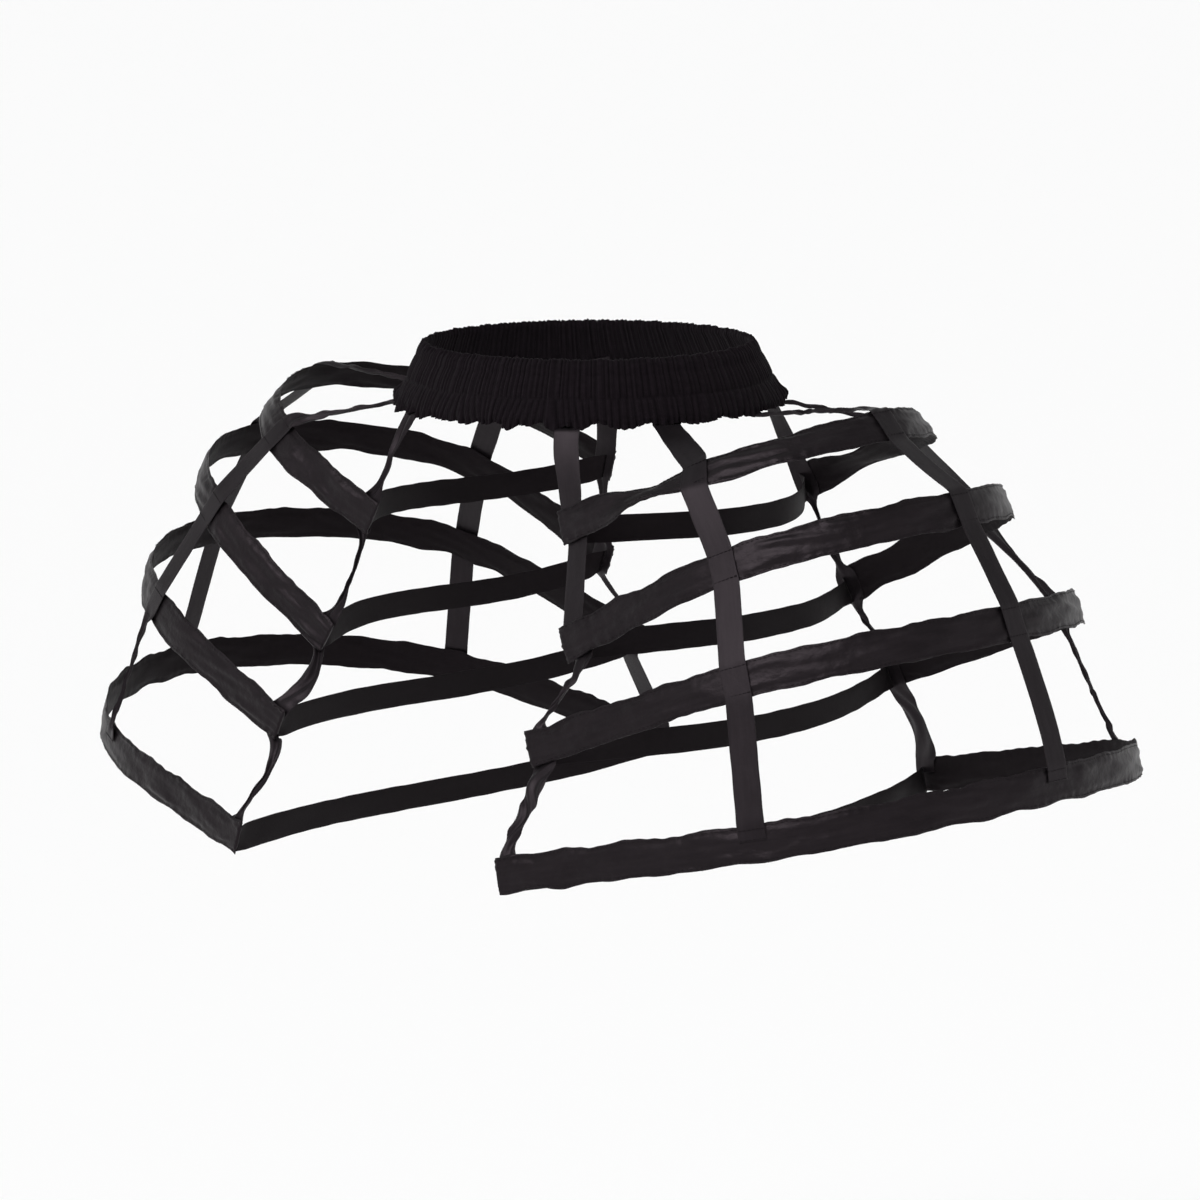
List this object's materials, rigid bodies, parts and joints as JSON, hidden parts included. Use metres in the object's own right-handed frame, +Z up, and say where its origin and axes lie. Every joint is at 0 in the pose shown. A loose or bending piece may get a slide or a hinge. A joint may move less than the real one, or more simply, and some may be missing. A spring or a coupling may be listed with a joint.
{
  "type": "crinoline cage",
  "caption": "Open hip cage worn under a wide skirt: boned satin hoops and ribbons in two side wings hung from a gathered elastic waistband.",
  "frame": {"origin": "centre of the waistband", "axes": "+Z up as worn, -Y to the wearer's front, +X to the wearer's left"},
  "size_m": [0.8056, 0.4429, 0.3466],
  "materials": {
    "gathered_cloth": "matte gathered cotton",
    "satin": "soft satin sheen, wrinkled lengthwise",
    "ribbon": "smooth satin ribbon",
    "tape": "matte woven tape",
    "bone": "plain extruded strip",
    "elastic": "knitted elastic"
  },
  "bodies": {
    "root": {"left_hoop1_bone": "bone", "left_hoop1_casing": "satin", "left_hoop1_strap": "tape", "left_hoop2_bone": "bone", "left_hoop2_casing": "satin", "left_hoop2_strap": "tape", "left_hoop3_bone": "bone", "left_hoop3_casing": "satin", "left_hoop3_strap": "tape", "left_hoop4_bone": "bone", "left_hoop4_casing": "satin", "left_hoop4_strap": "tape", "left_ribbon_back": "ribbon", "left_ribbon_back_corner": "ribbon", "left_ribbon_front": "ribbon", "left_ribbon_front_corner": "ribbon", "left_ribbon_side": "ribbon", "right_hoop1_bone": "bone", "right_hoop1_casing": "satin", "right_hoop1_strap": "tape", "right_hoop2_bone": "bone", "right_hoop2_casing": "satin", "right_hoop2_strap": "tape", "right_hoop3_bone": "bone", "right_hoop3_casing": "satin", "right_hoop3_strap": "tape", "right_hoop4_bone": "bone", "right_hoop4_casing": "satin", "right_hoop4_strap": "tape", "right_ribbon_back": "ribbon", "right_ribbon_back_corner": "ribbon", "right_ribbon_front": "ribbon", "right_ribbon_front_corner": "ribbon", "right_ribbon_side": "ribbon", "waist_elastic": "elastic", "waistband_casing": "gathered_cloth"}
  },
  "joints": []
}
